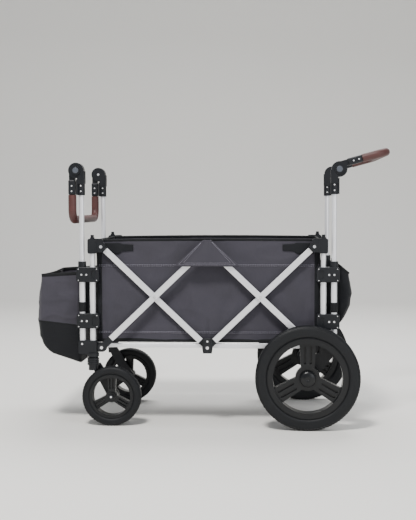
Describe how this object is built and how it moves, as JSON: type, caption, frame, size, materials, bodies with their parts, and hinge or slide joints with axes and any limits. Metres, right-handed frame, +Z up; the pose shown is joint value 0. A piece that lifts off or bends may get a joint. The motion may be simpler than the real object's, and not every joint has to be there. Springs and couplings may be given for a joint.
{
  "type": "beach cart",
  "caption": "Folding wagon with a cloth basket on crossed bars, swivelling castors, large rear wheels and a folding handle at each end.",
  "frame": {"origin": "on the ground, under the middle of the whole cart's bounding box", "axes": "+Z up, +X along the cart towards the push handle and the large wheels, -Y the cart's left side"},
  "size_m": [1.115, 0.582, 0.8871],
  "materials": {
    "silver_tube": "bright anodised aluminium tube",
    "black_plastic": "moulded glass-filled nylon",
    "steel": "zinc-plated rivets and pins",
    "tyre": "moulded foam-rubber tyre",
    "rim": "moulded spoked rim",
    "grey_cloth": "coated grey polyester weave",
    "black_cloth": "coated black polyester weave",
    "grip": "stitched brown leatherette",
    "button": "grey button"
  },
  "bodies": {
    "rear_frame": {"rear_posts": "silver_tube", "rear_clamps": "black_plastic", "rear_castings": "black_plastic", "rear_cross_tubes": "silver_tube", "rear_axle": "steel", "rear_rails": "silver_tube", "rear_frame_rivets": "steel", "rear_end_panel": "grey_cloth", "rear_basket_panels": "grey_cloth", "rear_pocket": "black_cloth"},
    "front_frame": {"front_posts": "silver_tube", "front_clamps": "black_plastic", "front_castings": "black_plastic", "front_cross_tubes": "silver_tube", "front_rails": "silver_tube", "front_frame_rivets": "steel", "front_end_panel": "grey_cloth", "front_basket_panels": "grey_cloth", "front_bag": "grey_cloth"},
    "rear_low": {"rear_low_bars": "silver_tube", "rear_low_bar_ends": "black_plastic", "rear_crossing_pins": "steel"},
    "rear_high": {"rear_high_bars": "silver_tube", "rear_high_bar_ends": "black_plastic"},
    "front_low": {"front_low_bars": "silver_tube", "front_low_bar_ends": "black_plastic", "front_crossing_pins": "steel"},
    "front_high": {"front_high_bars": "silver_tube", "front_high_bar_ends": "black_plastic"},
    "rear_bracket": {"rear_top_brackets": "black_plastic", "rear_top_pins": "steel", "rear_slide_tubes": "silver_tube"},
    "front_bracket": {"front_top_brackets": "black_plastic", "front_top_pins": "steel", "front_slide_tubes": "silver_tube"},
    "bottom_hub": {"bottom_hubs": "black_plastic", "bottom_hub_pins": "steel"},
    "top_hub": {"top_hubs": "black_plastic", "hub_flaps": "grey_cloth"},
    "front_handle_post": {"front_handle_tubes": "silver_tube", "front_handle_joints": "black_plastic"},
    "front_handle": {"front_handle_arms": "black_plastic", "front_handle_grip": "grip"},
    "front_button": {"front_handle_button": "button"},
    "rear_handle_post": {"rear_handle_tubes": "silver_tube", "rear_handle_joints": "black_plastic"},
    "rear_handle": {"rear_handle_arms": "black_plastic", "rear_handle_grip": "grip"},
    "rear_button": {"rear_handle_button": "button"},
    "front_left_wheel": {"front_left_tyre": "tyre", "front_left_rim": "rim"},
    "front_left_castor": {"front_left_fork": "black_plastic"},
    "front_right_wheel": {"front_right_tyre": "tyre", "front_right_rim": "rim"},
    "front_right_castor": {"front_right_fork": "black_plastic"},
    "rear_left_wheel": {"rear_left_tyre": "tyre", "rear_left_rim": "rim"},
    "rear_right_wheel": {"rear_right_tyre": "tyre", "rear_right_rim": "rim"}
  },
  "joints": [
    {"name": "fold", "type": "hinge", "parent": "rear_frame", "child": "rear_low", "pos_m": [0.31849, 0, 0.252], "axis": [0, 1, 0], "range_deg": [0, 25]},
    {"name": "rear_high_turn", "type": "hinge", "parent": "rear_low", "child": "rear_high", "pos_m": [0.14849, 0, 0.414], "axis": [0, 1, 0], "range_deg": [-50, 0]},
    {"name": "rear_bracket_turn", "type": "hinge", "parent": "rear_high", "child": "rear_bracket", "pos_m": [0.31849, 0, 0.576], "axis": [0, 1, 0], "range_deg": [0, 25]},
    {"name": "front_low_turn", "type": "hinge", "parent": "rear_low", "child": "front_low", "pos_m": [-0.02151, 0, 0.576], "axis": [0, 1, 0], "range_deg": [-50, 0]},
    {"name": "front_high_turn", "type": "hinge", "parent": "front_low", "child": "front_high", "pos_m": [-0.19151, 0, 0.414], "axis": [0, 1, 0], "range_deg": [0, 50]},
    {"name": "front_frame_turn", "type": "hinge", "parent": "front_low", "child": "front_frame", "pos_m": [-0.36151, 0, 0.252], "axis": [0, 1, 0], "range_deg": [0, 25]},
    {"name": "front_bracket_turn", "type": "hinge", "parent": "front_high", "child": "front_bracket", "pos_m": [-0.36151, 0, 0.576], "axis": [0, 1, 0], "range_deg": [-25, 0]},
    {"name": "bottom_hub_turn", "type": "hinge", "parent": "rear_high", "child": "bottom_hub", "pos_m": [-0.02151, 0, 0.252], "axis": [0, 1, 0], "range_deg": [0, 25]},
    {"name": "top_hub_turn", "type": "hinge", "parent": "rear_low", "child": "top_hub", "pos_m": [-0.02151, 0, 0.576], "axis": [0, 1, 0], "range_deg": [-25, 0]},
    {"name": "front_handle_slide", "type": "slide", "parent": "front_frame", "child": "front_handle_post", "axis": [0, 0, -1], "range_m": [0, 0.11]},
    {"name": "front_handle_swing", "type": "hinge", "parent": "front_handle_post", "child": "front_handle", "pos_m": [-0.43951, 0, 0.82], "axis": [0, 1, 0], "range_deg": [0, 180]},
    {"name": "front_button_press", "type": "slide", "parent": "front_handle_post", "child": "front_button", "axis": [0, 1, 0], "range_m": [0, 0.003], "stiffness_N_per_m": 400},
    {"name": "front_left_castor_swivel", "type": "hinge", "parent": "front_frame", "child": "front_left_castor", "pos_m": [-0.39051, -0.213, 0.215], "axis": [0, 0, 1], "continuous": true},
    {"name": "front_left_wheel_spin", "type": "hinge", "parent": "front_left_castor", "child": "front_left_wheel", "pos_m": [-0.33051, -0.213, 0.095], "axis": [0, 1, 0], "continuous": true},
    {"name": "front_right_castor_swivel", "type": "hinge", "parent": "front_frame", "child": "front_right_castor", "pos_m": [-0.39051, 0.213, 0.215], "axis": [0, 0, 1], "continuous": true},
    {"name": "front_right_wheel_spin", "type": "hinge", "parent": "front_right_castor", "child": "front_right_wheel", "pos_m": [-0.33051, 0.213, 0.095], "axis": [0, 1, 0], "continuous": true},
    {"name": "rear_handle_slide", "type": "slide", "parent": "rear_frame", "child": "rear_handle_post", "axis": [0, 0, -1], "range_m": [0, 0.11]},
    {"name": "rear_handle_swing", "type": "hinge", "parent": "rear_handle_post", "child": "rear_handle", "pos_m": [0.39649, 0, 0.82], "axis": [0, -1, 0], "range_deg": [-105, 75]},
    {"name": "rear_button_press", "type": "slide", "parent": "rear_handle_post", "child": "rear_button", "axis": [0, 1, 0], "range_m": [0, 0.003], "stiffness_N_per_m": 400},
    {"name": "rear_left_wheel_spin", "type": "hinge", "parent": "rear_frame", "child": "rear_left_wheel", "pos_m": [0.29649, -0.262, 0.165], "axis": [0, 1, 0], "continuous": true},
    {"name": "rear_right_wheel_spin", "type": "hinge", "parent": "rear_frame", "child": "rear_right_wheel", "pos_m": [0.29649, 0.262, 0.165], "axis": [0, 1, 0], "continuous": true}
  ],
  "couplings": [
    {"joint": "rear_high_turn", "follows": "fold", "ratio": -2},
    {"joint": "rear_bracket_turn", "follows": "fold", "ratio": 1},
    {"joint": "front_low_turn", "follows": "fold", "ratio": -2},
    {"joint": "front_high_turn", "follows": "fold", "ratio": 2},
    {"joint": "front_frame_turn", "follows": "fold", "ratio": 1},
    {"joint": "front_bracket_turn", "follows": "fold", "ratio": -1},
    {"joint": "bottom_hub_turn", "follows": "fold", "ratio": 1},
    {"joint": "top_hub_turn", "follows": "fold", "ratio": -1}
  ]
}
